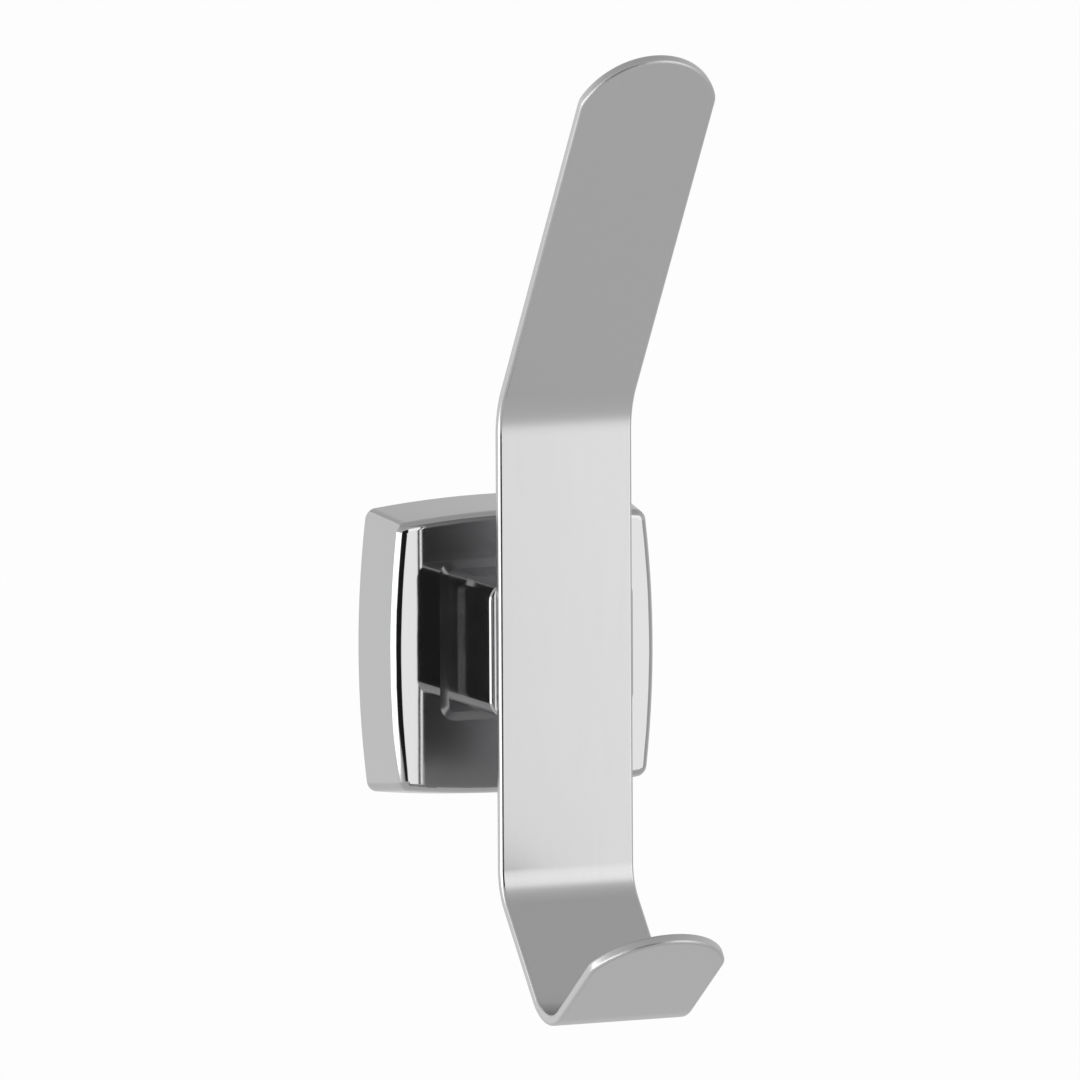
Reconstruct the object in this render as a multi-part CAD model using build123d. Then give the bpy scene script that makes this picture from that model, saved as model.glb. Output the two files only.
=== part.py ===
from build123d import *
from math import atan, cos, degrees, radians, sin, tan
import os

# Hat and coat hook for a wall, in millimetres.
# A bent satin steel strap stands on the support arm of a polished square flange,
# and the flange hangs on a concealed wall plate.
# +Z is up, the wall is the plane Y = 0 and the room is on the -Y side.
# The origin is the middle of the flange's back edge.

# Strap
STRAP_WIDTH = 25.4
STRAP_THICKNESS = 2.0
STRAP_EDGE_BREAK = 0.4
STRAIGHT_LENGTH = 84.4
HAT_ARM_LENGTH = 78.0
HAT_ARM_LEAN = 32.9
COAT_ARM_LENGTH = 30.3
COAT_ARM_LEAN = 41.3
LIP_LENGTH = 33.8
LIP_RISE = 36.2
HAT_BEND_RADIUS = 14.0
COAT_BEND_RADIUS = 9.0
FOLD_RADIUS = 7.0
TIP_CROWN = 0.7
TIP_CORNER_RADIUS = 5.0

# Flange
FLANGE_HALF = 25.0
FLANGE_BULGE = 1.65
FLANGE_CORNER_RADIUS = 2.2
FLANGE_DEPTH = 12.2
FLANGE_INSET = 1.65
FLANGE_WALL = 2.0
FLANGE_FACE = 2.4
CREST_RADIUS = 1.65

# Support arm, cast in one with the flange, and the low bevelled base round its root
ARM_WIDTH = 27.4
ARM_HEIGHT = 23.6
ARM_REACH = 29.0
ARM_RISE = 2.6
ARM_CORNER_RADIUS = 3.0
ARM_END_RADIUS = 0.5
ARM_WALL = 2.6
ARM_END_WALL = 3.0
ARM_HOLLOW_CORNER = 1.5
BASE_MARGIN = 2.5
BASE_BEVEL = 1.6
BASE_HEIGHT = 0.6
BASE_CORNER_RADIUS = 3.0

# Studs welded to the back of the strap, with their nuts and washers
STUD_DIAMETER = 4.0
STUD_SPACING = 9.0
STUD_CLEARANCE = 0.2
STUD_SPARE = 1.0
WASHER_DIAMETER = 8.0
WASHER_THICKNESS = 0.8
NUT_WIDTH = 7.0
NUT_HEIGHT = 3.2
NUT_CHAMFER = 0.4
THREAD_CLEARANCE = 0.1

# Wall plate
PLATE_WIDTH = 32.0
PLATE_THICKNESS = 1.5
PLATE_TOP = 15.0
PLATE_FOOT = -19.0
PLATE_CORNER_RADIUS = 2.0
PLATE_BEND_RADIUS = 1.0
SHELF_WIDTH = 24.0
SHELF_DEPTH = 6.2
TONGUE_WIDTH = 20.0
TONGUE_OFFSET = 3.0
TONGUE_HEIGHT = 5.5
TONGUE_SLOPE_HEIGHT = 3.0
FIXING_SPACING = 20.0
FIXING_DIAMETER = 4.5

# Catch rib and set screw that hold the flange to the plate
RIB_SIDE_CLEARANCE = 1.0
RIB_BACK_GAP = 0.8
RIB_UNDER_GAP = 0.8
PAD_WIDTH = 9.0
PAD_GAP = 1.2
SCREW_DIAMETER = 4.0
SCREW_SOCKET_WIDTH = 2.0
SCREW_SOCKET_DEPTH = 2.0
SCREW_RECESS = 0.6
SCREW_CHAMFER = 0.4

# Sizes worked out from the ones above
TAPER = degrees(atan(FLANGE_INSET / FLANGE_DEPTH))
CAVITY_DEPTH = FLANGE_DEPTH - FLANGE_FACE
STRAP_MIDDLE = ARM_REACH + STRAP_THICKNESS / 2
STUD_HEIGHTS = (ARM_RISE - STUD_SPACING / 2, ARM_RISE + STUD_SPACING / 2)
NUT_SEAT = ARM_REACH - ARM_END_WALL
STUD_TIP = NUT_SEAT - WASHER_THICKNESS - NUT_HEIGHT - STUD_SPARE
SCREW_REACH = (PLATE_THICKNESS + SHELF_DEPTH) / 2
FLANGE_MIDDLE_HALF = FLANGE_HALF + FLANGE_BULGE
WALL_AT_SCREW = FLANGE_MIDDLE_HALF - SCREW_REACH * tan(radians(TAPER))


def room_plane(reach):
    """Sketch plane parallel to the wall, with X to the right and Z up."""
    return Plane(origin=(0, -reach, 0), x_dir=(1, 0, 0), z_dir=(0, -1, 0))


def block(x_size, reach_from, reach_to, z_from, z_to):
    """Box centred on X, between two distances from the wall and two heights."""
    middle = (0, -(reach_from + reach_to) / 2, (z_from + z_to) / 2)
    return Pos(*middle) * Box(x_size, reach_to - reach_from, z_to - z_from)


def rod(radius, reach_from, reach_to, x, z):
    """Cylinder square to the wall."""
    return extrude(room_plane(reach_from) * Pos(x, z) * Circle(radius), reach_to - reach_from)


def tapered_form(inward, depth):
    """Square form with bowed, sloping sides, set inward from the flange's outside."""
    side_radius = (FLANGE_HALF ** 2 + FLANGE_BULGE ** 2) / (2 * FLANGE_BULGE)
    back_radius = side_radius - inward
    side = Cone(back_radius, back_radius - depth * tan(radians(TAPER)), depth)
    shift = side_radius - FLANGE_MIDDLE_HALF
    form = None
    for x, z in ((shift, 0), (-shift, 0), (0, shift), (0, -shift)):
        placed = room_plane(depth / 2).location * Pos(x, z) * side
        form = placed if form is None else form & placed
    corners = [e for e in form.edges() if abs((e @ 1).Y - (e @ 0).Y) > depth / 2]
    return fillet(corners, FLANGE_CORNER_RADIUS - inward / 2)


def front_edges(solid, reach):
    """Edges of a solid that lie flat at one distance from the wall."""
    return [e for e in solid.edges() if all(abs(v.Y + reach) < 0.001 for v in (e @ 0, e @ 0.5, e @ 1))]


def make_flange():
    """Flange and support arm: one casting, polished outside and hollow behind."""
    form = tapered_form(0, FLANGE_DEPTH)
    arm_section = Pos(0, ARM_RISE) * RectangleRounded(ARM_WIDTH, ARM_HEIGHT, ARM_CORNER_RADIUS)
    arm = extrude(room_plane(CAVITY_DEPTH) * arm_section, ARM_REACH - CAVITY_DEPTH)
    body = fillet(front_edges(form, FLANGE_DEPTH), CREST_RADIUS) + arm
    body = body + make_arm_base()
    body = fillet(front_edges(body, ARM_REACH), ARM_END_RADIUS)
    cavity = tapered_form(FLANGE_WALL / cos(radians(TAPER)), CAVITY_DEPTH)
    hollow_section = Pos(0, ARM_RISE) * RectangleRounded(
        ARM_WIDTH - 2 * ARM_WALL, ARM_HEIGHT - 2 * ARM_WALL, ARM_HOLLOW_CORNER)
    hollow = extrude(room_plane(0) * hollow_section, NUT_SEAT)
    body = body - cavity - hollow
    body = body + (make_catch_rib() & form) + (make_screw_pad() & form)
    for height in STUD_HEIGHTS:
        body = body - rod(STUD_DIAMETER / 2 + STUD_CLEARANCE, 0, ARM_REACH + 1, 0, height)
    return body - tapped_hole()


def make_arm_base():
    """Low bevelled base on the flange's face, round the root of the support arm."""
    section = Pos(0, ARM_RISE) * RectangleRounded(
        ARM_WIDTH + 2 * BASE_MARGIN, ARM_HEIGHT + 2 * BASE_MARGIN, BASE_CORNER_RADIUS)
    slope = degrees(atan(BASE_BEVEL / BASE_HEIGHT))
    return extrude(room_plane(FLANGE_DEPTH) * section, BASE_HEIGHT, taper=slope)


def make_catch_rib():
    """Rib inside the flange's top wall, which sits behind the plate's tongue."""
    rib_bottom = PLATE_TOP + TONGUE_SLOPE_HEIGHT + RIB_UNDER_GAP
    return block(TONGUE_WIDTH + 2 * RIB_SIDE_CLEARANCE, RIB_BACK_GAP, TONGUE_OFFSET,
                 rib_bottom, FLANGE_MIDDLE_HALF)


def make_screw_pad():
    """Thick place inside the flange's bottom wall, tapped for the set screw."""
    return block(PAD_WIDTH, RIB_BACK_GAP, CAVITY_DEPTH + FLANGE_FACE / 2,
                 -FLANGE_MIDDLE_HALF, PLATE_FOOT - PAD_GAP)


def tapped_hole():
    """Hole for the set screw, up through the flange's bottom wall and its pad."""
    length = FLANGE_MIDDLE_HALF + PLATE_FOOT
    hole = Cylinder(SCREW_DIAMETER / 2 + THREAD_CLEARANCE, 2 * length)
    return Pos(0, -SCREW_REACH, -FLANGE_MIDDLE_HALF) * hole


def strap_corners():
    """Corners of the strap's middle line as (reach, height), from the hat tip to the lip tip."""
    hat = radians(HAT_ARM_LEAN)
    coat = radians(COAT_ARM_LEAN)
    lip = radians(LIP_RISE)
    upper_bend = Vector(STRAP_MIDDLE, ARM_RISE + STRAIGHT_LENGTH / 2)
    lower_bend = Vector(STRAP_MIDDLE, ARM_RISE - STRAIGHT_LENGTH / 2)
    hat_tip = upper_bend + Vector(sin(hat), cos(hat)) * HAT_ARM_LENGTH
    fold = lower_bend + Vector(sin(coat), -cos(coat)) * COAT_ARM_LENGTH
    lip_tip = fold + Vector(cos(lip), sin(lip)) * LIP_LENGTH
    return hat_tip, upper_bend, lower_bend, fold, lip_tip


def tip_waste(tip, direction):
    """What is cut away round one end of the strap to leave its rounded tip."""
    radius = STRAP_WIDTH / 2 + TIP_CROWN
    margin = 2.0
    end = Pos(0, -radius / 2) * Rectangle(STRAP_WIDTH, radius) & Pos(0, -radius) * Circle(radius)
    shoulders = [v for v in end.vertices() if v.Y > margin - radius]
    end = fillet(shoulders, TIP_CORNER_RADIUS)
    around = Pos(0, (margin - radius) / 2) * Rectangle(STRAP_WIDTH + 2 * margin, radius + margin)
    plane = Plane(origin=tip, x_dir=(1, 0, 0), z_dir=Vector(1, 0, 0).cross(direction))
    return extrude(plane * (around - end), STRAP_THICKNESS, both=True)


def is_rim(edge):
    """True on the strap's outline, false on lines across it or through its thickness."""
    span = (edge @ 1) - (edge @ 0)
    crosses = edge.geom_type == GeomType.LINE and abs(span.X) > 0.5 * STRAP_WIDTH
    return not crosses and abs(edge.length - STRAP_THICKNESS) > 0.001


def make_strap():
    """Bent strap with rounded tips and broken edges, and the two studs on its back."""
    corners = [Vector(0, -c.X, c.Y) for c in strap_corners()]
    radii = [r + STRAP_THICKNESS / 2 for r in (HAT_BEND_RADIUS, COAT_BEND_RADIUS, FOLD_RADIUS)]
    path = FilletPolyline(*corners, radius=radii)
    section = Plane(origin=path @ 0, x_dir=(1, 0, 0), z_dir=path % 0)
    strap = sweep(section * Rectangle(STRAP_WIDTH, STRAP_THICKNESS), path)
    strap = strap - tip_waste(corners[0], (path % 0) * -1) - tip_waste(corners[-1], path % 1)
    strap = chamfer([e for e in strap.edges() if is_rim(e)], STRAP_EDGE_BREAK)
    for height in STUD_HEIGHTS:
        strap = strap + rod(STUD_DIAMETER / 2, STUD_TIP, STRAP_MIDDLE, 0, height)
    return strap


def make_stud_washers():
    """One plain washer on each stud, against the end wall of the support arm."""
    bore = STUD_DIAMETER / 2 + THREAD_CLEARANCE
    return [rod(WASHER_DIAMETER / 2, NUT_SEAT - WASHER_THICKNESS, NUT_SEAT, 0, height)
            - rod(bore, 0, NUT_SEAT, 0, height) for height in STUD_HEIGHTS]


def make_stud_nuts():
    """One hexagon nut on each stud, chamfered on both faces."""
    front = NUT_SEAT - WASHER_THICKNESS
    back = front - NUT_HEIGHT
    nuts = []
    for height in STUD_HEIGHTS:
        outline = Pos(0, height) * RegularPolygon(NUT_WIDTH / 2, 6, major_radius=False)
        blank = extrude(room_plane(back) * outline, NUT_HEIGHT)
        turned = rod(NUT_WIDTH / 2 / cos(radians(30)), back, front, 0, height)
        turned = chamfer(turned.edges().filter_by(GeomType.CIRCLE), NUT_CHAMFER)
        nuts.append((blank & turned) - rod(STUD_DIAMETER / 2 + THREAD_CLEARANCE, 0, front, 0, height))
    return nuts


def make_wall_plate():
    """Bent steel plate screwed to the wall, with a tongue above and a shelf below."""
    half = PLATE_THICKNESS / 2
    shoulder = PLATE_TOP + TONGUE_SLOPE_HEIGHT
    top = shoulder + TONGUE_HEIGHT
    corners = [(SHELF_DEPTH, PLATE_FOOT + half), (half, PLATE_FOOT + half), (half, PLATE_TOP),
               (half + TONGUE_OFFSET, shoulder), (half + TONGUE_OFFSET, top)]
    path = FilletPolyline(*[Vector(0, -reach, height) for reach, height in corners],
                          radius=PLATE_BEND_RADIUS + half)
    section = Plane(origin=path @ 0, x_dir=(1, 0, 0), z_dir=path % 0)
    plate = sweep(section * Rectangle(PLATE_WIDTH, PLATE_THICKNESS), path)
    for side in (-1, 1):
        beside_tongue = block((PLATE_WIDTH - TONGUE_WIDTH) / 2, -1, SHELF_DEPTH, PLATE_TOP, top + 1)
        plate = plate - Pos(side * (PLATE_WIDTH + TONGUE_WIDTH) / 4, 0, 0) * beside_tongue
        above_shelf = PLATE_FOOT + PLATE_THICKNESS + PLATE_BEND_RADIUS
        beside_shelf = block((PLATE_WIDTH - SHELF_WIDTH) / 2, -1, SHELF_DEPTH + 1, PLATE_FOOT - 1, above_shelf)
        plate = plate - Pos(side * (PLATE_WIDTH + SHELF_WIDTH) / 4, 0, 0) * beside_shelf
    outer = [e for e in plate.edges().filter_by(Axis.Y) if abs((e @ 0.5).X) > PLATE_WIDTH / 2 - 0.01]
    plate = fillet(outer, PLATE_CORNER_RADIUS)
    for height in (-FIXING_SPACING / 2, FIXING_SPACING / 2):
        plate = plate - rod(FIXING_DIAMETER / 2, -1, PLATE_THICKNESS + 1, 0, height)
    return plate


def make_set_screw():
    """Headless socket screw, driven up against the underside of the plate's shelf."""
    bottom = SCREW_RECESS - WALL_AT_SCREW
    length = PLATE_FOOT - bottom
    screw = Pos(0, -SCREW_REACH, bottom + length / 2) * Cylinder(SCREW_DIAMETER / 2, length)
    screw = chamfer(screw.edges().filter_by(GeomType.CIRCLE), SCREW_CHAMFER)
    socket = RegularPolygon(SCREW_SOCKET_WIDTH / 2, 6, major_radius=False)
    return screw - extrude(Pos(0, -SCREW_REACH, bottom) * socket, SCREW_SOCKET_DEPTH)


def save(name, solids):
    """Write one node, which may hold several separate solids."""
    pieces = solids if isinstance(solids, list) else [solids]
    shape = pieces[0] if len(pieces) == 1 else Compound(children=pieces)
    export_step(shape, os.path.join("parts", name + ".step"))


os.makedirs("parts", exist_ok=True)
save("hook_strap", make_strap())
save("flange", make_flange())
save("wall_plate", make_wall_plate())
save("stud_washers", make_stud_washers())
save("stud_nuts", make_stud_nuts())
save("set_screw", make_set_screw())
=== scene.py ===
from math import atan2, cos, pi, radians, sin, sqrt, tan

import bmesh
import bpy
from bpy.props import FloatProperty, FloatVectorProperty, IntProperty, PointerProperty
from mathutils import Matrix, Vector


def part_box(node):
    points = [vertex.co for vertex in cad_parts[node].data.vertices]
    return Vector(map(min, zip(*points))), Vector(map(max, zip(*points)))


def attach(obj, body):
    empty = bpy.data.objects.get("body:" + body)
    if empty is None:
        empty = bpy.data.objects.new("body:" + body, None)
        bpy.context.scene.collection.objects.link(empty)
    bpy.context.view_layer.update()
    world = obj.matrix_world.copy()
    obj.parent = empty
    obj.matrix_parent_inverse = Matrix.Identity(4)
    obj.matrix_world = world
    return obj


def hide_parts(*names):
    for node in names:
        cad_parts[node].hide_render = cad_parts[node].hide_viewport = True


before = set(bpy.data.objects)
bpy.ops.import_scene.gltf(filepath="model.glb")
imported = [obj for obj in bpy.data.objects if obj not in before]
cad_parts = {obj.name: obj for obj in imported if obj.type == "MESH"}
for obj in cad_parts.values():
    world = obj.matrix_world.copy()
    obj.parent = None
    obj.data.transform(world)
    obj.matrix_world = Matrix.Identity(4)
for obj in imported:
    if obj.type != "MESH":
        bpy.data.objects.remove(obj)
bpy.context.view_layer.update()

bl_info = {
    "name": "Hat and coat hook",
    "version": (1, 0, 0),
    "blender": (4, 5, 0),
    "location": "3D View > Sidebar > Hook",
    "description": "Bent steel strap on a polished square flange, with its wall plate and fixings",
    "category": "Object",
}

MM = 0.001
TINY = 1e-6
STRAP_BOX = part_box("hook_strap")
FLANGE_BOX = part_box("flange")
NUTS_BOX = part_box("stud_nuts")

# The frame: +Z is up, the wall is the plane Y = 0 and the room is on the -Y side.
# A distance from the wall into the room is called a reach.

# Width of the photo, and its scale at the origin.
PHOTO_PIXELS = 1080
PIXELS_PER_MM = 5.65

# Places of the materials after the first, which is the strap's front and the flange's outside.
RIM, BACK = 1, 2
ARM, INSIDE = 1, 2

# The hat arm, its bend, the middle, its bend and the coat arm come before the fold.
PARTS_BEFORE_FOLD = 5


def srgb(colour):
    """Three sRGB numbers of a hex string."""
    return tuple(int(colour[i:i + 2], 16) / 255 for i in (1, 3, 5))


def linear(colour, alpha=1.0):
    """Linear colour of an sRGB hex string or of three sRGB numbers."""
    if isinstance(colour, str):
        colour = srgb(colour)
    parts = [c / 12.92 if c <= 0.04045 else ((c + 0.055) / 1.055) ** 2.4 for c in colour]
    return (*parts, alpha)


class StrapSettings(bpy.types.PropertyGroup):
    """Bent strap: the flat blank, its three bends and its rolled rim"""
    width: FloatProperty(
        name="Width", description="Width of the strap",
        default=STRAP_BOX[1].x - STRAP_BOX[0].x, unit="LENGTH")
    thickness: FloatProperty(
        name="Thickness", description="Thickness of the sheet", default=2.0 * MM, unit="LENGTH")
    arm_reach: FloatProperty(
        name="Arm reach", description="Wall to the back of the strap",
        default=-FLANGE_BOX[0].y, unit="LENGTH")
    middle_height: FloatProperty(
        name="Middle height", description="Height of the middle of the straight length",
        default=2.6 * MM, unit="LENGTH")
    straight_length: FloatProperty(
        name="Straight length", description="Upright length between the two bends' corners",
        default=84.4 * MM, unit="LENGTH")
    hat_arm: FloatProperty(
        name="Hat arm", description="Upper bend's corner to the hat tip", default=78.0 * MM, unit="LENGTH")
    hat_lean: FloatProperty(
        name="Hat arm lean", description="Lean of the hat arm away from the wall",
        default=radians(32.9), subtype="ANGLE")
    coat_arm: FloatProperty(
        name="Coat arm", description="Lower bend's corner to the fold", default=30.3 * MM, unit="LENGTH")
    coat_lean: FloatProperty(
        name="Coat arm lean", description="Lean of the coat arm away from the wall",
        default=radians(41.3), subtype="ANGLE")
    lip: FloatProperty(
        name="Lip", description="Fold to the lip's tip", default=33.78 * MM, unit="LENGTH")
    lip_rise: FloatProperty(
        name="Lip rise", description="Slope of the lip above level", default=radians(36.2), subtype="ANGLE")
    hat_bend: FloatProperty(
        name="Hat bend", description="Inner radius of the upper bend", default=14.0 * MM, unit="LENGTH")
    coat_bend: FloatProperty(
        name="Coat bend", description="Inner radius of the lower bend", default=9.0 * MM, unit="LENGTH")
    fold: FloatProperty(
        name="Fold", description="Inner radius of the fold", default=7.0 * MM, unit="LENGTH")
    tip_crown: FloatProperty(
        name="Tip crown", description="How much the tip's radius is over half the width",
        default=0.7 * MM, unit="LENGTH")
    tip_corner: FloatProperty(
        name="Tip corner", description="Radius between a tip and the sides", default=5.0 * MM, unit="LENGTH")
    crown_steps: IntProperty(
        name="Crown steps", description="Facets of half a tip's crown", default=24)
    corner_steps: IntProperty(
        name="Corner steps", description="Facets of a tip's corner", default=10)
    rim: FloatProperty(
        name="Rim radius", description="Radius of the rolled rim", default=0.6 * MM, unit="LENGTH")
    rim_steps: IntProperty(
        name="Rim steps", description="Facets round a quarter turn of the rim", default=8)
    bend_step: FloatProperty(
        name="Bend step", description="Turn of one facet in a bend", default=radians(2.0), subtype="ANGLE")
    brush_pitch: FloatProperty(
        name="Brush pitch", description="Width of one brushed line", default=0.3 * MM, unit="LENGTH")
    brush_length: FloatProperty(
        name="Brush length", description="Length of one brushed line", default=25.0 * MM, unit="LENGTH")
    # Over this length before the fold, the back's painted shade fades out.
    fade: FloatProperty(
        name="Fade", description="Length before the fold over which the back turns from rolled to brushed",
        default=18.0 * MM, unit="LENGTH")
    dull_tip: FloatProperty(
        name="Dull tip", description="Length at a tip where the rim is dullest",
        default=10.0 * MM, unit="LENGTH")
    dull_end: FloatProperty(
        name="Dull end", description="Distance from a tip where the rim is smooth",
        default=40.0 * MM, unit="LENGTH")
    rim_dull: FloatProperty(
        name="Dull rim", description="Roughness of the rim at the tips", default=0.38)
    rim_polish: FloatProperty(
        name="Rim polish", description="Roughness of the rim away from the tips", default=0.16)
    steel: FloatVectorProperty(
        name="Steel", description="Colour of satin steel", size=3, subtype="COLOR_GAMMA",
        default=srgb("#D0D0D0"))
    # The back's darker grey is painted shade for the gap between the strap's back and the flange's face.
    painted_shade_back: FloatVectorProperty(
        name="Steel back", description="Colour of the back, which is left as rolled", size=3,
        subtype="COLOR_GAMMA", default=srgb("#A4A4A5"))


class FlangeSettings(bpy.types.PropertyGroup):
    """Polished flange and its support arm"""
    polish: FloatProperty(
        name="Polish", description="Roughness of the polished outside", default=0.05)
    metal: FloatVectorProperty(
        name="Metal", description="Colour of the polished metal", size=3, subtype="COLOR_GAMMA",
        default=srgb("#C6C6C7"))
    wave_length: FloatProperty(
        name="Wave length", description="Width of the soft waves that buffing leaves",
        default=22.0 * MM, unit="LENGTH")
    wave_height: FloatProperty(
        name="Wave height", description="Height of those waves", default=0.15 * MM, unit="LENGTH")
    arm_polish: FloatProperty(
        name="Arm polish", description="Roughness of the arm, which a wheel hardly reaches", default=0.13)
    arm_rise: FloatProperty(
        name="Arm rise", description="Height of the arm's middle", default=2.6 * MM, unit="LENGTH")
    face_reach: FloatProperty(
        name="Face reach", description="Wall to the flange's face", default=12.2 * MM, unit="LENGTH")
    base_half_width: FloatProperty(
        name="Base half width", description="Of a square, round the arm's middle, that holds the low base",
        default=17.0 * MM, unit="LENGTH")
    base_height: FloatProperty(
        name="Base height", description="Height of that base in the plain solid",
        default=0.6 * MM, unit="LENGTH")
    base_flatness: FloatProperty(
        name="Base flatness", description="Height of the base as a share of the plain solid's", default=0.37)
    crease: FloatProperty(
        name="Crease", description="Least turn between two faces that stays crisp",
        default=radians(30), subtype="ANGLE")
    face_crease: FloatProperty(
        name="Face crease", description="The same on the flange's face and on what stands on it",
        default=radians(4), subtype="ANGLE")
    skin: FloatVectorProperty(
        name="Cast skin", description="Colour of the unpolished inside", size=3, subtype="COLOR_GAMMA",
        default=srgb("#8E8F91"))


class FixingSettings(bpy.types.PropertyGroup):
    """Studs with their nuts and washers, the wall plate and the set screw"""
    stud_diameter: FloatProperty(
        name="Stud diameter", description="Outside of the thread", default=4.0 * MM, unit="LENGTH")
    pitch: FloatProperty(
        name="Pitch", description="Rise of one turn of thread", default=0.7 * MM, unit="LENGTH")
    thread_steps: IntProperty(
        name="Thread steps", description="Facets round one turn of thread", default=24)
    thread_depth: FloatProperty(
        name="Thread depth", description="Depth of the thread as a share of its pitch", default=0.6)
    thread_root: FloatProperty(
        name="Thread root", description="How deep the thread's foot goes, as a share of its depth",
        default=1.2)
    nut_width: FloatProperty(
        name="Nut width", description="Across the flats of a nut", default=7.0 * MM, unit="LENGTH")
    weld: FloatProperty(
        name="Weld", description="How far a stud's root goes into the strap", default=0.2 * MM, unit="LENGTH")


class StageSettings(bpy.types.PropertyGroup):
    """Camera, floor and light"""
    azimuth: FloatProperty(
        name="Azimuth", description="Camera's turn to the left of straight on",
        default=radians(23.2), subtype="ANGLE")
    elevation: FloatProperty(
        name="Elevation", description="Camera's height above level", default=radians(7.16), subtype="ANGLE")
    roll: FloatProperty(
        name="Roll", description="Camera's roll", default=radians(-0.3), subtype="ANGLE")
    distance: FloatProperty(
        name="Distance", description="Camera to the origin", default=3.0, unit="LENGTH")
    aim_right: FloatProperty(
        name="Aim right", description="Image centre, right of the origin", default=7.53 * MM, unit="LENGTH")
    aim_up: FloatProperty(
        name="Aim up", description="Image centre, above the origin", default=18.14 * MM, unit="LENGTH")
    frame_width: FloatProperty(
        name="Frame width", description="Width that the picture takes in at the origin",
        default=PHOTO_PIXELS / PIXELS_PER_MM * MM, unit="LENGTH")
    floor_height: FloatProperty(
        name="Floor", description="Height of the floor", default=-0.30, unit="LENGTH")
    floor_white: FloatProperty(
        name="Floor white", description="How far the camera sees the floor as plain white", default=0.975)
    mirrored_white: FloatProperty(
        name="Mirrored white", description="How much of that white metal and glass show", default=0.35)
    mirrored_behind: FloatProperty(
        name="Mirrored behind", description="The same for the floor behind the wall's plane", default=0.56)
    behind_start: FloatProperty(
        name="Behind start", description="Y where the mirrored floor starts to turn whiter",
        default=-0.08, unit="LENGTH")
    behind_end: FloatProperty(
        name="Behind end", description="Y where it is as white as it gets", default=0.14, unit="LENGTH")
    walls_level: FloatProperty(
        name="Walls level", description="Light from the room round the object", default=0.52)
    ceiling_level: FloatProperty(
        name="Ceiling level", description="Light from overhead", default=0.19)
    floor_size: FloatProperty(
        name="Floor size", description="Side of the floor", default=14.0, unit="LENGTH")


def add_node(tree, kind, inputs=None, **settings):
    """Add a node. inputs maps a socket's name or number to a value or to another node's output."""
    node = tree.nodes.new(kind)
    for name, value in settings.items():
        setattr(node, name, value)
    for socket, value in (inputs or {}).items():
        if isinstance(value, bpy.types.NodeSocket):
            tree.links.new(value, node.inputs[socket])
        else:
            node.inputs[socket].default_value = value
    return node


def new_material(name):
    """Empty node material, with its tree and its output node."""
    material = bpy.data.materials.new(name)
    material.use_nodes = True
    tree = material.node_tree
    tree.nodes.clear()
    return material, tree, add_node(tree, "ShaderNodeOutputMaterial")


def satin_steel(strap, name="satin_brushed_stainless", fold=None):
    """Stainless steel strip, belt-brushed along its length: a soft sheen with very fine long lines.

    With fold, the distance of the fold along the strip, it is greyer before the fold: painted shade for the
    gap between the strap's back and the flange.
    """
    material, tree, output = new_material(name)
    flat = add_node(tree, "ShaderNodeUVMap", uv_map="blank")
    # The blank's map is in millimetres.
    stretch = (MM / strap.brush_pitch, MM / strap.brush_length, 1.0)
    lines_place = add_node(tree, "ShaderNodeMapping", {"Vector": flat.outputs["UV"], "Scale": stretch})
    lines = add_node(tree, "ShaderNodeTexNoise",
                     {"Vector": lines_place.outputs["Vector"], "Scale": 1.0, "Detail": 3.0, "Roughness": 0.6})
    roughness = add_node(tree, "ShaderNodeMapRange",
                         {"Value": lines.outputs["Fac"], "From Min": 0.3, "From Max": 0.7,
                          "To Min": 0.28, "To Max": 0.31})
    bump = add_node(tree, "ShaderNodeBump",
                    {"Height": lines.outputs["Fac"], "Strength": 0.02, "Distance": 0.05 * MM})
    shader = add_node(tree, "ShaderNodeBsdfPrincipled",
                      {"Base Color": linear(strap.steel), "Metallic": 1.0,
                       "Roughness": roughness.outputs["Result"], "Normal": bump.outputs["Normal"]})
    if fold is not None:
        # Painted shade: the back is a darker grey up to the fold, for the shade between the strap and the
        # flange.
        along = add_node(tree, "ShaderNodeSeparateXYZ", {"Vector": flat.outputs["UV"]})
        brushed = add_node(tree, "ShaderNodeMapRange",
                           {"Value": along.outputs["Y"], "From Min": (fold - strap.fade) / MM,
                            "From Max": fold / MM})
        tint = add_node(tree, "ShaderNodeMix",
                        {"Factor": brushed.outputs["Result"], "A": linear(strap.painted_shade_back),
                         "B": linear(strap.steel)}, data_type="RGBA")
        tree.links.new(tint.outputs["Result"], shader.inputs["Base Color"])
    tree.links.new(shader.outputs["BSDF"], output.inputs["Surface"])
    return material


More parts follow.
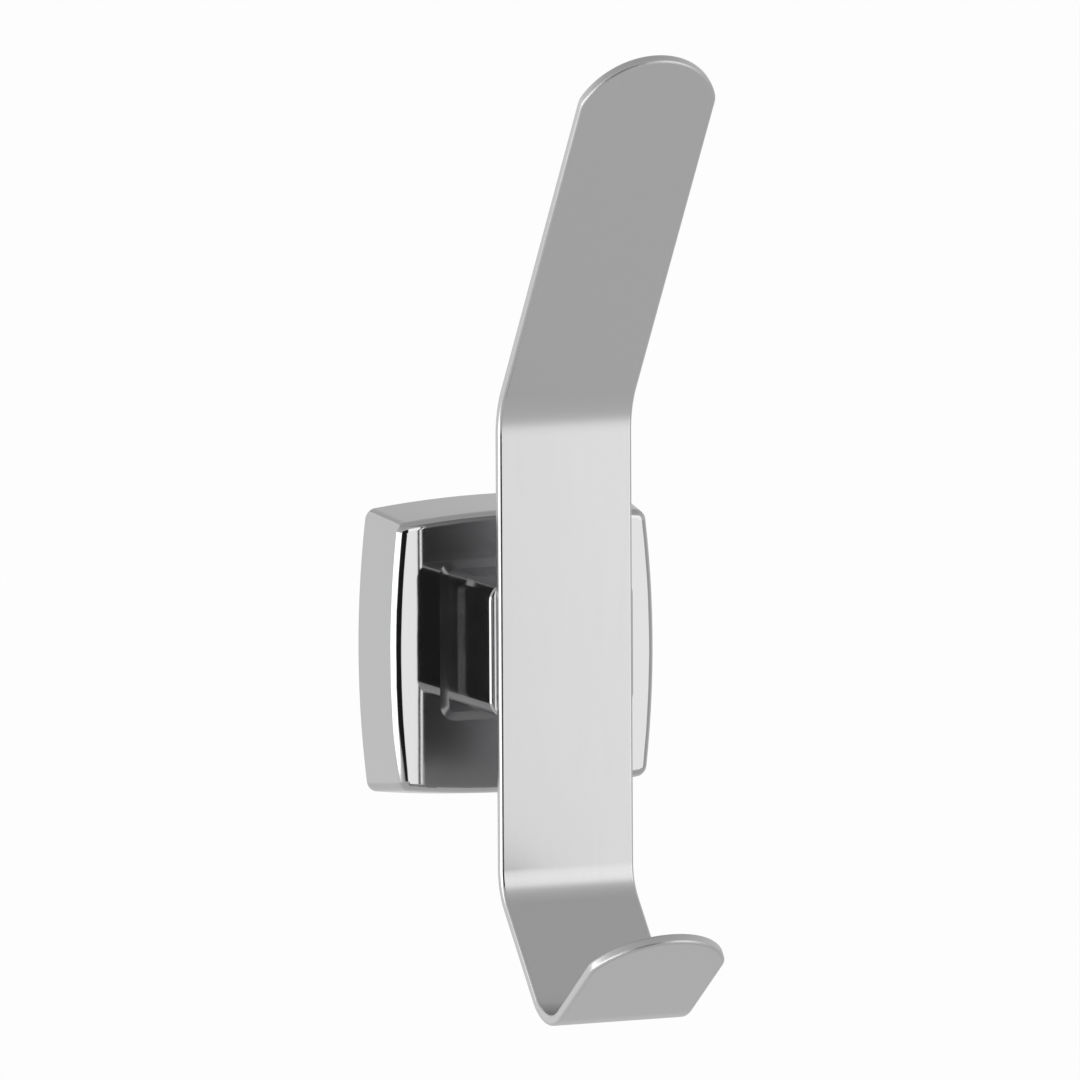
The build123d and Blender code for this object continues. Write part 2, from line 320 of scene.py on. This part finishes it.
def rolled_rim(strap, length):
    """The strap's rolled edge, tumbled smooth: it mirrors the room in thin bright and dark lines.

    Round the tips, which are cut after rolling, it is duller.
    """
    material, tree, output = new_material("polished_rim_stainless")
    flat = add_node(tree, "ShaderNodeUVMap", uv_map="blank")
    along = add_node(tree, "ShaderNodeSeparateXYZ", {"Vector": flat.outputs["UV"]})
    other = add_node(tree, "ShaderNodeMath",
                     {0: length / MM, 1: along.outputs["Y"]}, operation="SUBTRACT")
    nearer = add_node(tree, "ShaderNodeMath",
                      {0: along.outputs["Y"], 1: other.outputs[0]}, operation="MINIMUM")
    dull = add_node(tree, "ShaderNodeMapRange",
                    {"Value": nearer.outputs[0], "From Min": strap.dull_tip / MM,
                     "From Max": strap.dull_end / MM,
                     "To Min": strap.rim_dull, "To Max": strap.rim_polish})
    wear = add_node(tree, "ShaderNodeTexNoise",
                    {"Vector": flat.outputs["UV"], "Scale": 0.25, "Detail": 2.0})
    roughness = add_node(tree, "ShaderNodeMath",
                         {0: wear.outputs["Fac"], 1: 0.06, 2: dull.outputs["Result"]},
                         operation="MULTIPLY_ADD")
    shader = add_node(tree, "ShaderNodeBsdfPrincipled",
                      {"Base Color": linear(strap.steel), "Metallic": 1.0,
                       "Roughness": roughness.outputs[0]})
    tree.links.new(shader.outputs["BSDF"], output.inputs["Surface"])
    return material


def bright_chrome(name, flange, polish):
    """Buffed and chromed zinc casting: a near mirror with the soft waves that buffing leaves."""
    material, tree, output = new_material(name)
    place = add_node(tree, "ShaderNodeTexCoord").outputs["Object"]
    smear = add_node(tree, "ShaderNodeTexNoise", {"Vector": place, "Scale": 1 / (6 * MM), "Detail": 3.0})
    roughness = add_node(tree, "ShaderNodeMapRange",
                         {"Value": smear.outputs["Fac"], "To Min": polish * 0.7, "To Max": polish * 1.3})
    buffed = add_node(tree, "ShaderNodeTexNoise",
                      {"Vector": place, "Scale": 1 / flange.wave_length, "Detail": 1.0})
    waves = add_node(tree, "ShaderNodeBump",
                     {"Height": buffed.outputs["Fac"], "Strength": 1.0, "Distance": flange.wave_height})
    shader = add_node(tree, "ShaderNodeBsdfPrincipled",
                      {"Base Color": linear(flange.metal), "Metallic": 1.0,
                       "Roughness": roughness.outputs["Result"], "Normal": waves.outputs["Normal"]})
    tree.links.new(shader.outputs["BSDF"], output.inputs["Surface"])
    return material


def cast_skin(flange):
    """Zinc as it leaves the mould, under a thin plating: dull and finely grained. It shows from behind."""
    material, tree, output = new_material("as_cast_zinc")
    place = add_node(tree, "ShaderNodeTexCoord").outputs["Object"]
    grain = add_node(tree, "ShaderNodeTexNoise", {"Vector": place, "Scale": 1 / (0.4 * MM), "Detail": 3.0})
    flow = add_node(tree, "ShaderNodeTexNoise", {"Vector": place, "Scale": 1 / (9 * MM), "Detail": 2.0})
    tint = add_node(tree, "ShaderNodeMix",
                    {"Factor": flow.outputs["Fac"], "A": linear(flange.skin), "B": linear("#A6A7A8")},
                    data_type="RGBA")
    roughness = add_node(tree, "ShaderNodeMapRange",
                         {"Value": flow.outputs["Fac"], "To Min": 0.38, "To Max": 0.55})
    bump = add_node(tree, "ShaderNodeBump",
                    {"Height": grain.outputs["Fac"], "Strength": 0.5, "Distance": 0.05 * MM})
    shader = add_node(tree, "ShaderNodeBsdfPrincipled",
                      {"Base Color": tint.outputs["Result"], "Metallic": 1.0,
                       "Roughness": roughness.outputs["Result"], "Normal": bump.outputs["Normal"]})
    tree.links.new(shader.outputs["BSDF"], output.inputs["Surface"])
    return material


def fixing_steel(name, colour, grain):
    """Zinc-plated or turned stainless steel: an even grey shine, cloudy at the size of its grain."""
    material, tree, output = new_material(name)
    place = add_node(tree, "ShaderNodeTexCoord")
    cloud = add_node(tree, "ShaderNodeTexNoise",
                     {"Vector": place.outputs["Object"], "Scale": 1 / grain, "Detail": 4.0})
    tint = add_node(tree, "ShaderNodeMix",
                    {"Factor": cloud.outputs["Fac"], "A": linear(colour), "B": linear("#D2D5D8")},
                    data_type="RGBA")
    roughness = add_node(tree, "ShaderNodeMapRange",
                         {"Value": cloud.outputs["Fac"], "To Min": 0.25, "To Max": 0.42})
    shader = add_node(tree, "ShaderNodeBsdfPrincipled",
                      {"Base Color": tint.outputs["Result"], "Metallic": 1.0,
                       "Roughness": roughness.outputs["Result"]})
    tree.links.new(shader.outputs["BSDF"], output.inputs["Surface"])
    return material


def middle_line(strap):
    """Parts of the strap's middle line, from the hat tip to the lip's tip.

    Each part is (length, start, heading, turn, radius). A straight part has no turn.
    start is (reach, height), and a heading of zero points straight into the room.
    """
    turns = (strap.hat_lean, strap.coat_lean, pi / 2 - strap.coat_lean + strap.lip_rise, 0.0)
    radii = [inner + strap.thickness / 2 for inner in (strap.hat_bend, strap.coat_bend, strap.fold)] + [0.0]
    lengths = (strap.hat_arm, strap.straight_length, strap.coat_arm, strap.lip)
    heading = -pi / 2 - strap.hat_lean
    corner = Vector((strap.arm_reach + strap.thickness / 2, strap.middle_height + strap.straight_length / 2))
    point = corner - Vector((cos(heading), sin(heading))) * strap.hat_arm
    parts = []
    setback = 0.0
    for length, turn, radius in zip(lengths, turns, radii):
        next_setback = radius * tan(turn / 2)
        run = length - setback - next_setback
        parts.append((run, point.copy(), heading, 0.0, 0.0))
        point += Vector((cos(heading), sin(heading))) * run
        if turn:
            parts.append((radius * turn, point.copy(), heading, turn, radius))
            centre = point + Vector((-sin(heading), cos(heading))) * radius
            heading += turn
            point = centre - Vector((-sin(heading), cos(heading))) * radius
        setback = next_setback
    return parts


def place_on_line(part, start, distance):
    """Matrix that takes the flat blank at one distance along it to its place on the middle line."""
    _, point, heading, turn, radius = part
    if turn:
        centre = point + Vector((-sin(heading), cos(heading))) * radius
        heading = heading + (distance - start) / radius
        point = centre - Vector((-sin(heading), cos(heading))) * radius
    else:
        point = point + Vector((cos(heading), sin(heading))) * (distance - start)
    placed = Matrix((
        (1, 0, 0, 0),
        (0, -cos(heading), -sin(heading), -point.x),
        (0, sin(heading), -cos(heading), point.y),
        (0, 0, 0, 1)))
    return placed @ Matrix.Translation((0, -distance, 0))


def tip_edge(bm, strap, tip, inward):
    """Half of a tip's outline, from the middle to the side: a crown arc and a corner arc."""
    crown = strap.width / 2 + strap.tip_crown
    corner_x = strap.width / 2 - strap.tip_corner
    corner_y = sqrt((crown - strap.tip_corner) ** 2 - corner_x ** 2)
    side_angle = atan2(corner_y, corner_x)
    start = bm.verts.new((0, tip, 0))
    spun = bmesh.ops.spin(
        bm, geom=[start], cent=(0, tip + inward * crown, 0), axis=(0, 0, inward), dvec=(0, 0, 0),
        angle=pi / 2 - side_angle, steps=strap.crown_steps, use_merge=False, use_duplicate=False)
    last = [g for g in spun["geom_last"] if isinstance(g, bmesh.types.BMVert)]
    spun = bmesh.ops.spin(
        bm, geom=last, cent=(corner_x, tip + inward * (crown - corner_y), 0), axis=(0, 0, inward),
        dvec=(0, 0, 0), angle=side_angle, steps=strap.corner_steps, use_merge=False,
        use_duplicate=False)
    return [g for g in spun["geom_last"] if isinstance(g, bmesh.types.BMVert)][0]


def make_blank(bm, strap, length):
    """Flat strip with rounded tips and a rolled rim, along +Y from the hat tip."""
    ends = [tip_edge(bm, strap, 0.0, 1), tip_edge(bm, strap, length, -1)]
    bm.edges.new(ends)
    bmesh.ops.mirror(bm, geom=bm.verts[:] + bm.edges[:], axis="X", merge_dist=TINY)
    bmesh.ops.remove_doubles(bm, verts=bm.verts[:], dist=TINY)
    bmesh.ops.contextual_create(bm, geom=bm.edges[:])
    bmesh.ops.translate(bm, verts=bm.verts[:], vec=(0, 0, -strap.thickness / 2))
    grown = bmesh.ops.extrude_face_region(bm, geom=bm.faces[:])
    moved = [g for g in grown["geom"] if isinstance(g, bmesh.types.BMVert)]
    bmesh.ops.translate(bm, verts=moved, vec=(0, 0, strap.thickness))
    bmesh.ops.recalc_face_normals(bm, faces=bm.faces[:])
    for face in bm.faces:
        if face.normal.z > 0.5:
            face.material_index = BACK
    rim = [e for e in bm.edges if abs(e.verts[0].co.z - e.verts[1].co.z) < TINY]
    rolled = bmesh.ops.bevel(
        bm, geom=rim, offset=strap.rim, offset_type="OFFSET", segments=strap.rim_steps, profile=0.5,
        affect="EDGES", clamp_overlap=True, material=-1)
    for face in rolled["faces"]:
        face.material_index = RIM


def bend_blank(bm, strap):
    """Cut the blank across at each step of its bends, and lay it along the middle line."""
    stations = []
    start = 0.0
    for part in middle_line(strap):
        length, _, _, turn, _ = part
        steps = max(1, round(turn / strap.bend_step))
        for step in range(1, steps + 1):
            distance = start + length * step / steps
            stations.append((distance, place_on_line(part, start, distance)))
        start += length
    flat_map = bm.loops.layers.uv.new("blank")
    for distance, _ in stations[:-1]:
        bmesh.ops.bisect_plane(bm, geom=bm.verts[:] + bm.edges[:] + bm.faces[:], dist=TINY,
                               plane_co=(0, distance, 0), plane_no=(0, 1, 0))
    for face in bm.faces:
        for loop in face.loops:
            x, y, z = loop.vert.co
            loop[flat_map].uv = ((x + z) / MM, y / MM)
    left = set(bm.verts)
    for distance, matrix in stations:
        here = [v for v in left if v.co.y < distance + 10 * TINY]
        left.difference_update(here)
        bmesh.ops.transform(bm, matrix=matrix, verts=here)


def make_stud(bm, fixings, back, tip, height):
    """Threaded stud from the strap's back towards the wall: a core with one spun thread round it."""
    radius = fixings.stud_diameter / 2
    depth = fixings.thread_depth * fixings.pitch
    bmesh.ops.create_cone(
        bm, cap_ends=True, segments=fixings.thread_steps, radius1=radius - depth, radius2=radius - depth,
        depth=tip - back, matrix=Matrix.Translation((0, (tip + back) / 2, height))
        @ Matrix.Rotation(-pi / 2, 4, "X"))
    turns = round((tip - back - fixings.pitch) / fixings.pitch)
    start = back + fixings.pitch / 2
    sunk = radius - depth * fixings.thread_root
    inner = bm.verts.new((sunk, start, height))
    crest = bm.verts.new((radius, start + fixings.pitch / 2, height))
    outer = bm.verts.new((sunk, start + fixings.pitch, height))
    flanks = [bm.edges.new((inner, crest)), bm.edges.new((crest, outer))]
    bmesh.ops.spin(
        bm, geom=[inner, crest, outer] + flanks, cent=(0, 0, height), axis=(0, 1, 0),
        dvec=(0, fixings.pitch / fixings.thread_steps, 0), angle=2 * pi * (turns - 1),
        steps=fixings.thread_steps * (turns - 1), use_merge=False, use_duplicate=False)


def finish_piece(name, bm, materials, replaced=()):
    """Turn a bmesh into a shaded piece that rides with the part."""
    mesh = bpy.data.meshes.new(name)
    bm.to_mesh(mesh)
    bm.free()
    for material in materials:
        mesh.materials.append(material)
    mesh.shade_smooth()
    piece = bpy.data.objects.new(name, mesh)
    bpy.context.scene.collection.objects.link(piece)
    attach(piece, "root")
    if replaced:
        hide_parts(*replaced)
    return piece


def even_normals(piece):
    """Keep flat faces flat beside narrow rounded ones."""
    modifier = piece.modifiers.new("even_normals", "WEIGHTED_NORMAL")
    modifier.weight = 100
    modifier.keep_sharp = True


class HOOK_OT_strap(bpy.types.Operator):
    """Make the bent strap with its two studs"""
    bl_idname = "hook.strap"
    bl_label = "Bent strap"

    def execute(self, context):
        strap = context.scene.hook_strap
        fixings = context.scene.hook_fixings
        length = sum(part[0] for part in middle_line(strap))
        bm = bmesh.new()
        make_blank(bm, strap, length)
        bend_blank(bm, strap)
        bmesh.ops.recalc_face_normals(bm, faces=bm.faces[:])
        fold = sum(part[0] for part in middle_line(strap)[:PARTS_BEFORE_FOLD])
        # The back's material paints shade: it is a darker grey up to the fold, for the gap between the strap
        # and the flange.
        materials = [satin_steel(strap), rolled_rim(strap, length),
                     satin_steel(strap, "stainless_back_painted_shade", fold)]
        even_normals(finish_piece("bent_strap", bm, materials, ["hook_strap"]))
        studs = bmesh.new()
        low = NUTS_BOX[0].z + fixings.nut_width / 2
        high = NUTS_BOX[1].z - fixings.nut_width / 2
        for height in (low, high):
            make_stud(studs, fixings, -strap.arm_reach - fixings.weld, STRAP_BOX[1].y, height)
        bmesh.ops.remove_doubles(studs, verts=studs.verts[:], dist=TINY)
        bmesh.ops.recalc_face_normals(studs, faces=studs.faces[:])
        stud_steel = fixing_steel("stainless_stud", "#A9ACAF", grain=1.0 * MM)
        finish_piece("weld_studs", studs, [stud_steel])
        return {"FINISHED"}


def flatten_base(bm, flange):
    """Lower the base round the arm's root, which the plain solid has a little high, to a soft cushion."""
    base = [v for v in bm.verts
            if max(abs(v.co.x), abs(v.co.z - flange.arm_rise)) < flange.base_half_width
            and -flange.face_reach - flange.base_height - TINY < v.co.y < -flange.face_reach - TINY]
    bmesh.ops.scale(bm, vec=(1, flange.base_flatness, 1), verts=base,
                    space=Matrix.Translation((0, flange.face_reach, 0)))


def mark_surfaces(bm, flange):
    """Give the arm its own finish and the inside its cast skin, and keep creases crisp."""
    for face in bm.faces:
        centre = face.calc_center_median()
        outward = Vector((centre.x, 0, centre.z - flange.arm_rise))
        if face.normal.y > 0.5 or face.normal.dot(outward) < -TINY:
            face.material_index = INSIDE
        elif centre.y < -flange.face_reach - TINY:
            face.material_index = ARM
    for edge in bm.edges:
        on_face = all(v.co.y < -flange.face_reach + TINY for v in edge.verts)
        edge.smooth = edge.calc_face_angle() < (flange.face_crease if on_face else flange.crease)


class HOOK_OT_flange(bpy.types.Operator):
    """Finish the flange with its support arm, polished outside and as cast inside"""
    bl_idname = "hook.flange"
    bl_label = "Cast flange"

    def execute(self, context):
        flange = context.scene.hook_flange
        bm = bmesh.new()
        bm.from_mesh(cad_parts["flange"].data)
        bmesh.ops.remove_doubles(bm, verts=bm.verts[:], dist=TINY)
        flatten_base(bm, flange)
        bmesh.ops.recalc_face_normals(bm, faces=bm.faces[:])
        mark_surfaces(bm, flange)
        materials = [bright_chrome("chromed_zinc_buffed", flange, flange.polish),
                     bright_chrome("chromed_zinc_arm", flange, flange.arm_polish), cast_skin(flange)]
        even_normals(finish_piece("cast_flange", bm, materials, ["flange"]))
        return {"FINISHED"}


class HOOK_OT_fixings(bpy.types.Operator):
    """Finish the wall plate, the nuts and washers and the set screw"""
    bl_idname = "hook.fixings"
    bl_label = "Fixings"

    def execute(self, context):
        finishes = {
            "wall_plate": fixing_steel("zinc_plated_plate", "#9EA3A8", grain=5.0 * MM),
            "stud_nuts": fixing_steel("stainless_nut", "#A9ACAF", grain=1.5 * MM),
            "stud_washers": fixing_steel("stainless_washer", "#B4B7BA", grain=1.5 * MM),
            "set_screw": fixing_steel("stainless_screw", "#8C8F92", grain=1.0 * MM),
        }
        for node, material in finishes.items():
            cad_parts[node].material_slots[0].material = material
        return {"FINISHED"}


def camera_axes(stage):
    """The camera's right, up and back directions in the part's frame."""
    a, e, r = stage.azimuth, stage.elevation, stage.roll
    back = Vector((-sin(a) * cos(e), -cos(a) * cos(e), sin(e)))
    right = Vector((cos(a), -sin(a), 0))
    up = back.cross(right)
    return cos(r) * right + sin(r) * up, cos(r) * up - sin(r) * right, back


def make_camera(stage):
    """Long lens, as far off as the photograph's weak perspective asks."""
    right, up, back = camera_axes(stage)
    data = bpy.data.cameras.new("camera")
    data.sensor_width = 36.0
    data.lens = data.sensor_width * stage.distance / stage.frame_width
    data.clip_end = 100.0
    camera = bpy.data.objects.new("camera", data)
    place = back * stage.distance + right * stage.aim_right + up * stage.aim_up
    turn = Matrix((right, up, back)).transposed()
    camera.matrix_world = Matrix.Translation(place) @ turn.to_4x4()
    bpy.context.scene.collection.objects.link(camera)
    bpy.context.scene.camera = camera


def white_share(tree, mirrored_white):
    """Share of plain white that a ray sees: all of it for the camera, and part of it in metal and glass."""
    rays = add_node(tree, "ShaderNodeLightPath")
    mirrored = add_node(tree, "ShaderNodeMath",
                        {0: rays.outputs["Is Glossy Ray"], 1: rays.outputs["Is Transmission Ray"]},
                        operation="MAXIMUM")
    part = add_node(tree, "ShaderNodeMath",
                    {0: mirrored.outputs[0], 1: mirrored_white}, operation="MULTIPLY")
    return add_node(tree, "ShaderNodeMath",
                    {0: rays.outputs["Is Camera Ray"], 1: part.outputs[0]}, operation="MAXIMUM").outputs[0]


def pale_floor(stage):
    """Matt painted board, off-white: nearly white to the camera, and it keeps a soft shadow."""
    material, tree, output = new_material("matt_white_board")
    place = add_node(tree, "ShaderNodeTexCoord")
    mottle = add_node(tree, "ShaderNodeTexNoise",
                      {"Vector": place.outputs["Object"], "Scale": 40.0, "Detail": 3.0})
    tint = add_node(tree, "ShaderNodeMix",
                    {"Factor": mottle.outputs["Fac"], "A": linear("#E6E6E6"), "B": linear("#EAEAEA")},
                    data_type="RGBA")
    board = add_node(tree, "ShaderNodeBsdfDiffuse", {"Color": tint.outputs["Result"]})
    white = add_node(tree, "ShaderNodeEmission", {"Color": (1, 1, 1, 1), "Strength": 1.0})
    depth = add_node(tree, "ShaderNodeSeparateXYZ", {"Vector": place.outputs["Object"]})
    mirrored = add_node(tree, "ShaderNodeMapRange",
                        {"Value": depth.outputs["Y"], "From Min": stage.behind_start,
                         "From Max": stage.behind_end,
                         "To Min": stage.mirrored_white, "To Max": stage.mirrored_behind})
    share = add_node(tree, "ShaderNodeMath",
                     {0: white_share(tree, mirrored.outputs["Result"]), 1: stage.floor_white},
                     operation="MULTIPLY")
    mixed = add_node(tree, "ShaderNodeMixShader",
                     {0: share.outputs[0], 1: board.outputs["BSDF"], 2: white.outputs["Emission"]})
    tree.links.new(mixed.outputs["Shader"], output.inputs["Surface"])
    return material


def make_world(stage):
    """Soft light from all round that falls off overhead, and white to the camera."""
    world = bpy.data.worlds.new("studio")
    world.use_nodes = True
    tree = world.node_tree
    tree.nodes.clear()
    toward = add_node(tree, "ShaderNodeTexCoord")
    height = add_node(tree, "ShaderNodeSeparateXYZ", {"Vector": toward.outputs["Generated"]})
    # Height here is the sine of a direction's angle above level.
    level = add_node(tree, "ShaderNodeMapRange",
                     {"Value": height.outputs["Z"], "From Min": 0.3, "From Max": 0.9,
                      "To Min": stage.walls_level, "To Max": stage.ceiling_level})
    even = add_node(tree, "ShaderNodeBackground",
                    {"Color": (1, 1, 1, 1), "Strength": level.outputs["Result"]})
    white = add_node(tree, "ShaderNodeBackground", {"Color": (1, 1, 1, 1), "Strength": 1.0})
    share = white_share(tree, stage.mirrored_white)
    mixed = add_node(tree, "ShaderNodeMixShader",
                     {0: share, 1: even.outputs["Background"], 2: white.outputs["Background"]})
    output = add_node(tree, "ShaderNodeOutputWorld")
    tree.links.new(mixed.outputs["Shader"], output.inputs["Surface"])
    bpy.context.scene.world = world


def panel_place(turn, height, distance):
    """Matrix of a panel that faces the object, from a turn to the right and a height in degrees."""
    turn, height = radians(turn), radians(height)
    direction = Vector((sin(turn) * cos(height), -cos(turn) * cos(height), sin(height)))
    return Matrix.Translation(direction * distance) @ direction.to_track_quat("Z", "Y").to_matrix().to_4x4()


def softbox(name, turn, height, distance, width, tall, level):
    """Rectangular lamp at a turn and a height in degrees. Its face is as bright as level, 1 being white."""
    data = bpy.data.lights.new(name, "AREA")
    data.shape = "RECTANGLE"
    data.size = width
    data.size_y = tall
    data.energy = pi * width * tall * level
    lamp = bpy.data.objects.new(name, data)
    lamp.matrix_world = panel_place(turn, height, distance)
    lamp.visible_camera = False
    bpy.context.scene.collection.objects.link(lamp)


def mirrored_card(name, colour, glow, turn, height, distance, width, tall):
    """Card that the polished metal mirrors and the camera doesn't see. glow is its own brightness."""
    material, tree, output = new_material(name)
    board = add_node(tree, "ShaderNodeBsdfPrincipled",
                     {"Base Color": linear(colour), "Roughness": 0.9, "Emission Color": (1, 1, 1, 1),
                      "Emission Strength": glow})
    tree.links.new(board.outputs["BSDF"], output.inputs["Surface"])
    bm = bmesh.new()
    bmesh.ops.create_grid(bm, x_segments=1, y_segments=1, size=0.5)
    bmesh.ops.scale(bm, vec=(width, tall, 1), verts=bm.verts[:])
    bmesh.ops.transform(bm, matrix=panel_place(turn, height, distance), verts=bm.verts[:])
    mesh = bpy.data.meshes.new(name)
    bm.to_mesh(mesh)
    bm.free()
    mesh.materials.append(material)
    card = bpy.data.objects.new(name, mesh)
    card.visible_camera = False
    card.visible_shadow = False
    bpy.context.scene.collection.objects.link(card)


class HOOK_OT_stage(bpy.types.Operator):
    """Make the floor, the light and the camera"""
    bl_idname = "hook.stage"
    bl_label = "Stage"

    def execute(self, context):
        stage = context.scene.hook_stage
        bm = bmesh.new()
        bmesh.ops.create_grid(bm, x_segments=1, y_segments=1, size=stage.floor_size / 2)
        bmesh.ops.translate(bm, verts=bm.verts[:], vec=(0, 0, stage.floor_height))
        mesh = bpy.data.meshes.new("floor")
        bm.to_mesh(mesh)
        bm.free()
        mesh.materials.append(pale_floor(stage))
        floor = bpy.data.objects.new("floor", mesh)
        context.scene.collection.objects.link(floor)
        make_world(stage)
        # The front softbox lights the strap. The side one draws the white line on the flange's crest.
        # The flange's face and arm mirror the black card, and its left wall the white one.
        softbox("front_softbox", turn=34, height=-4, distance=0.9, width=0.62, tall=1.1, level=0.82)
        softbox("side_softbox", turn=-85, height=-4, distance=1.0, width=1.6, tall=0.62, level=1.6)
        mirrored_card("black_card", "#1E1E1E", glow=0.0,
                      turn=-15, height=0, distance=1.3, width=1.3, tall=1.3)
        mirrored_card("white_card", "#101010", glow=0.86,
                      turn=-143, height=8, distance=0.7, width=0.44, tall=1.0)
        make_camera(stage)
        context.scene.view_settings.view_transform = "Standard"
        return {"FINISHED"}


class HOOK_PT_panel(bpy.types.Panel):
    """Buttons that make the hook's pieces and its stage"""
    bl_idname = "HOOK_PT_panel"
    bl_label = "Hat and coat hook"
    bl_space_type = "VIEW_3D"
    bl_region_type = "UI"
    bl_category = "Hook"

    def draw(self, context):
        for operator in OPERATORS:
            self.layout.operator(operator.bl_idname)


OPERATORS = (HOOK_OT_strap, HOOK_OT_flange, HOOK_OT_fixings, HOOK_OT_stage)
SETTINGS = {
    "hook_strap": StrapSettings,
    "hook_flange": FlangeSettings,
    "hook_fixings": FixingSettings,
    "hook_stage": StageSettings,
}


def register():
    for cls in (*SETTINGS.values(), *OPERATORS, HOOK_PT_panel):
        bpy.utils.register_class(cls)
    for name, cls in SETTINGS.items():
        setattr(bpy.types.Scene, name, PointerProperty(type=cls))


def unregister():
    for name in SETTINGS:
        delattr(bpy.types.Scene, name)
    for cls in (HOOK_PT_panel, *OPERATORS, *SETTINGS.values()):
        bpy.utils.unregister_class(cls)


def main():
    register()
    bpy.ops.hook.strap()
    bpy.ops.hook.flange()
    bpy.ops.hook.fixings()
    bpy.ops.hook.stage()


if __name__ == "__main__":
    main()
